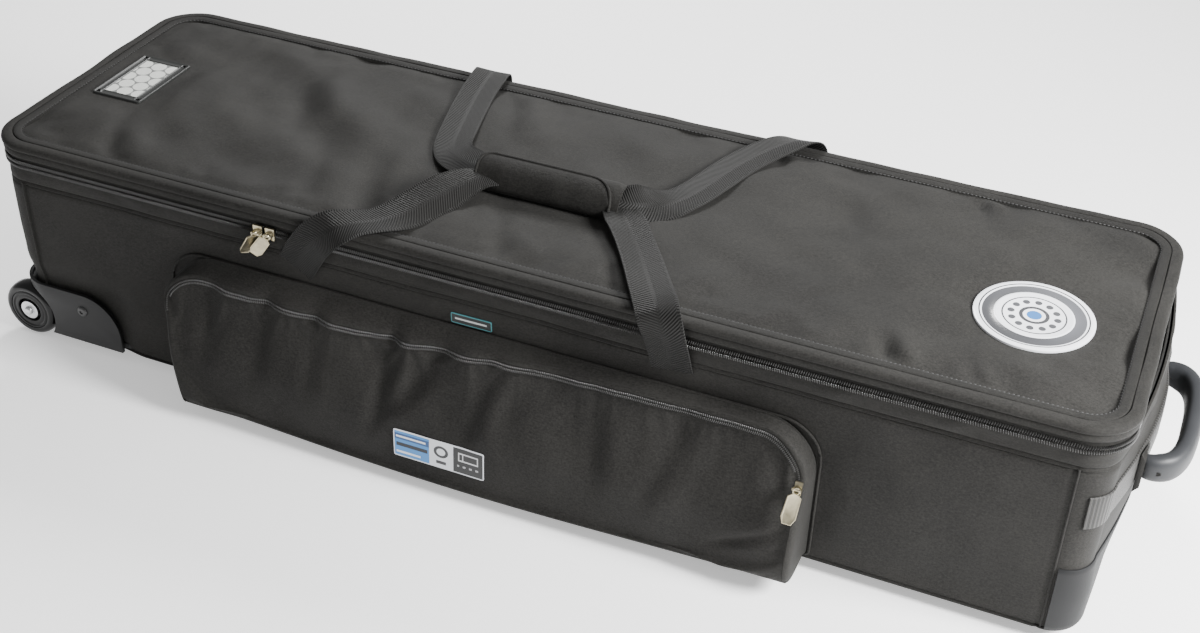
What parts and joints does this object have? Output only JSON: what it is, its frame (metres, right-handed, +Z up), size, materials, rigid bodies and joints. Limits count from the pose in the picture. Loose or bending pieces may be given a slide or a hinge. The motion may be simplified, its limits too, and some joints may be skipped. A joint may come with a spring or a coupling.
{
  "type": "drum hardware case",
  "caption": "Long wheeled soft case for drum stands, with a zipped padded lid, front pocket, joined carrying straps, end handle and corner wheels.",
  "frame": {"origin": "on the floor under the middle of the case, on the underside of the centre base runner", "axes": "+X from the wheel end to the handle end, +Y from the pocket front to the hinged rear, +Z up"},
  "size_m": [1.2712, 0.4202, 0.2856],
  "materials": {
    "shell_fabric": "woven polyester",
    "base_fabric": "coated base cloth",
    "board": "stiff sheet",
    "foam": "closed-cell foam",
    "lining_cloth": "plain lining",
    "webbing": "herringbone webbing",
    "piping": "bound piping",
    "zip_nylon": "coil zip",
    "moulded_plastic": "satin moulding",
    "kick_grey": "smooth wear patch",
    "screw_steel": "zinc plated",
    "hub_plastic": "gloss moulding",
    "tyre_black": "smooth tread",
    "grip_rubber": "soft sleeve",
    "pull_metal": "satin nickel on brass",
    "label_print": "woven patch",
    "card_paper": "plain card",
    "clear_window": "clear film",
    "badge_print": "moulded soft badge"
  },
  "bodies": {
    "root": {"base_panel": "base_fabric", "base_board": "board", "front_panel": "shell_fabric", "rear_panel": "shell_fabric", "wheel_end_panel": "shell_fabric", "handle_end_panel": "shell_fabric", "foam_sides": "foam", "foam_wheel_end": "foam", "foam_handle_end": "foam", "lining": "lining_cloth", "zip_band": "shell_fabric", "lower_zip": "zip_nylon", "hinge_tape": "webbing", "seam_piping": "piping", "base_runners": "moulded_plastic", "runner_screws": "screw_steel", "corner_guard_front": "moulded_plastic", "corner_guard_rear": "moulded_plastic", "guard_bolts": "screw_steel", "axle_bolts": "screw_steel", "wheel_bearings": "screw_steel", "kick_plate": "kick_grey", "end_webbing": "webbing", "handle_anchors": "webbing", "pocket_backing": "shell_fabric", "pocket_gusset": "shell_fabric", "pocket_front": "shell_fabric", "pocket_zip_fixed": "zip_nylon", "label_patch": "label_print", "side_tag": "label_print"},
    "lid": {"lid_band": "shell_fabric", "lid_border": "shell_fabric", "lid_panel": "shell_fabric", "lid_foam": "foam", "lid_lining": "lining_cloth", "lid_piping": "piping", "upper_zip": "zip_nylon", "card_frame": "moulded_plastic", "card": "card_paper", "card_window": "clear_window", "badge": "badge_print"},
    "left_slider": {"left_slider": "pull_metal"},
    "left_pull": {"left_pull": "pull_metal"},
    "right_slider": {"right_slider": "pull_metal"},
    "right_pull": {"right_pull": "pull_metal"},
    "pocket_slider": {"pocket_slider": "pull_metal"},
    "pocket_pull": {"pocket_pull": "pull_metal"},
    "pocket_flap": {"pocket_flap": "shell_fabric", "pocket_zip_moving": "zip_nylon"},
    "grab_handle": {"grab_handle": "grip_rubber"},
    "wheel_front": {"wheel_hub_front": "hub_plastic", "wheel_tyre_front": "tyre_black"},
    "wheel_rear": {"wheel_hub_rear": "hub_plastic", "wheel_tyre_rear": "tyre_black"},
    "front_legs": {"front_strap_legs": "webbing"},
    "front_loop": {"front_strap_loop": "webbing"},
    "rear_legs": {"rear_strap_legs": "webbing"},
    "rear_loop": {"rear_strap_loop": "webbing", "grip_pad": "shell_fabric"},
    "grip_flap": {"grip_flap": "shell_fabric"}
  },
  "joints": [
    {"name": "lid_hinge", "type": "hinge", "parent": "root", "child": "lid", "pos_m": [0, 0.1835, 0.232], "axis": [-1, 0, 0], "range_deg": [0, 110], "deforming": ["front_strap_legs", "front_strap_loop", "rear_strap_legs", "rear_strap_loop"]},
    {"name": "front_strap_lift", "type": "hinge", "parent": "root", "child": "front_legs", "pos_m": [-0.017, -0.1758, 0.196], "axis": [1, 0, 0], "range_deg": [0, 96]},
    {"name": "front_strap_fold", "type": "hinge", "parent": "front_legs", "child": "front_loop", "pos_m": [-0.0005, -0.1866, 0.2624], "axis": [1, 0, 0], "range_deg": [0, 156]},
    {"name": "rear_strap_lift", "type": "hinge", "parent": "root", "child": "rear_legs", "pos_m": [0.012, 0.1758, 0.196], "axis": [-1, 0, 0], "range_deg": [0, 101]},
    {"name": "rear_strap_fold", "type": "hinge", "parent": "rear_legs", "child": "rear_loop", "pos_m": [0.012, 0.1866, 0.2646], "axis": [-1, 0, 0], "range_deg": [0, 119]},
    {"name": "grip_flap_hinge", "type": "hinge", "parent": "rear_loop", "child": "grip_flap", "pos_m": [-0.006, -0.018, 0.2586], "axis": [-1, 0, 0], "range_deg": [0, 121]},
    {"name": "left_slider_run", "type": "slide", "parent": "root", "child": "left_slider", "axis": [-1, 0, 0], "range_m": [0, 0.25]},
    {"name": "left_pull_hinge", "type": "hinge", "parent": "left_slider", "child": "left_pull", "pos_m": [-0.259, -0.1876, 0.232], "axis": [-1, 0, 0], "range_deg": [0, 150]},
    {"name": "right_slider_run", "type": "slide", "parent": "root", "child": "right_slider", "axis": [1, 0, 0], "range_m": [0, 0.78]},
    {"name": "right_pull_hinge", "type": "hinge", "parent": "right_slider", "child": "right_pull", "pos_m": [-0.245, -0.1876, 0.232], "axis": [-1, 0, 0], "range_deg": [0, 150]},
    {"name": "pocket_flap_hinge", "type": "hinge", "parent": "root", "child": "pocket_flap", "pos_m": [-0.01, -0.2145, 0.12], "axis": [1, 0, 0], "range_deg": [0, 120]},
    {"name": "pocket_slider_run", "type": "hinge", "parent": "root", "child": "pocket_slider", "pos_m": [0.292, -0.20663, 0.138], "axis": [0, -0.9162, 0.4008], "range_deg": [0, 105]},
    {"name": "pocket_pull_hinge", "type": "hinge", "parent": "pocket_slider", "child": "pocket_pull", "pos_m": [0.3245, -0.21753, 0.13205], "axis": [-1, 0, 0], "range_deg": [0, 150]},
    {"name": "grab_handle_hinge", "type": "hinge", "parent": "root", "child": "grab_handle", "pos_m": [0.62123, 0, 0.155], "axis": [0, 1, 0], "range_deg": [-60, 60]},
    {"name": "front_wheel_spin", "type": "hinge", "parent": "root", "child": "wheel_front", "pos_m": [-0.586, -0.166, 0.034], "axis": [0, 1, 0], "continuous": true},
    {"name": "rear_wheel_spin", "type": "hinge", "parent": "root", "child": "wheel_rear", "pos_m": [-0.586, 0.166, 0.034], "axis": [0, 1, 0], "continuous": true}
  ],
  "couplings": [
    {"joint": "front_strap_lift", "follows": "lid_hinge", "ratio": 0.8636},
    {"joint": "front_strap_fold", "follows": "lid_hinge", "ratio": 1.409},
    {"joint": "rear_strap_lift", "follows": "lid_hinge", "ratio": 0.909},
    {"joint": "rear_strap_fold", "follows": "lid_hinge", "ratio": 1.073},
    {"joint": "grip_flap_hinge", "follows": "lid_hinge", "ratio": 1.09}
  ]
}
